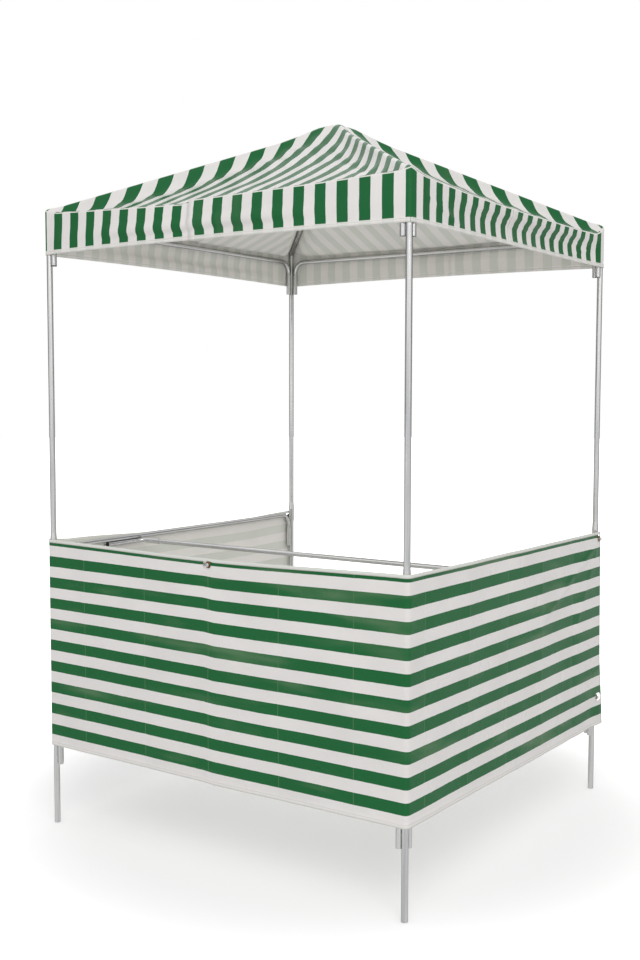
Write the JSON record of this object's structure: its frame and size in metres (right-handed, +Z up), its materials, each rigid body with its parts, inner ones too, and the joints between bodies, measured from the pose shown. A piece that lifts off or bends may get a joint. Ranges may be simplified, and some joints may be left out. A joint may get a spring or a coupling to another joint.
{
  "type": "knock-down market stall",
  "caption": "Square knock-down market stall: plated steel tube frame with plug-in U rails, a hipped striped sheet roof with valance, and a striped skirt round three sides.",
  "frame": {"origin": "on the ground at the centre of the plan, midway between the four posts", "axes": "+Z up, -Y towards the customer side with the middle eyelet, +Y the open serving side, +X to the customer's right"},
  "size_m": [1.552, 1.552, 2.604],
  "materials": {
    "plated_tube": "zinc-plated steel tube, dull grey with darker streaks",
    "striped_sheet": "coated woven sheet, white with green stripes, slightly glossy",
    "brass_eyelet": "dull pressed eyelet rings",
    "black_plug": "black moulded tube plug"
  },
  "bodies": {
    "root": {"lower_post_front_left": "plated_tube", "upper_post_front_left": "plated_tube", "hip_rafter_front_left": "plated_tube", "lower_post_front_right": "plated_tube", "upper_post_front_right": "plated_tube", "hip_rafter_front_right": "plated_tube", "lower_post_back_right": "plated_tube", "upper_post_back_right": "plated_tube", "hip_rafter_back_right": "plated_tube", "lower_post_back_left": "plated_tube", "upper_post_back_left": "plated_tube", "hip_rafter_back_left": "plated_tube", "bottom_rail_front": "plated_tube", "top_rail_front": "plated_tube", "canopy_front": "striped_sheet", "valance_front": "striped_sheet", "bottom_rail_right": "plated_tube", "top_rail_right": "plated_tube", "canopy_right": "striped_sheet", "valance_right": "striped_sheet", "bottom_rail_back": "plated_tube", "top_rail_back": "plated_tube", "canopy_back": "striped_sheet", "valance_back": "striped_sheet", "bottom_rail_left": "plated_tube", "top_rail_left": "plated_tube", "canopy_left": "striped_sheet", "valance_left": "striped_sheet", "counter_rail_front": "plated_tube", "skirt_front": "striped_sheet", "counter_rail_right": "plated_tube", "skirt_right": "striped_sheet", "counter_rail_left": "plated_tube", "skirt_left": "striped_sheet", "apex_hub": "plated_tube", "cross_bar": "plated_tube", "canopy_peak": "striped_sheet", "eyelet_front": "brass_eyelet", "bar_bracket_left": "plated_tube", "arm_plug_left": "black_plug", "eyelets_left": "brass_eyelet", "bar_bracket_right": "plated_tube", "arm_plug_right": "black_plug", "eyelets_right": "brass_eyelet"}
  },
  "joints": []
}
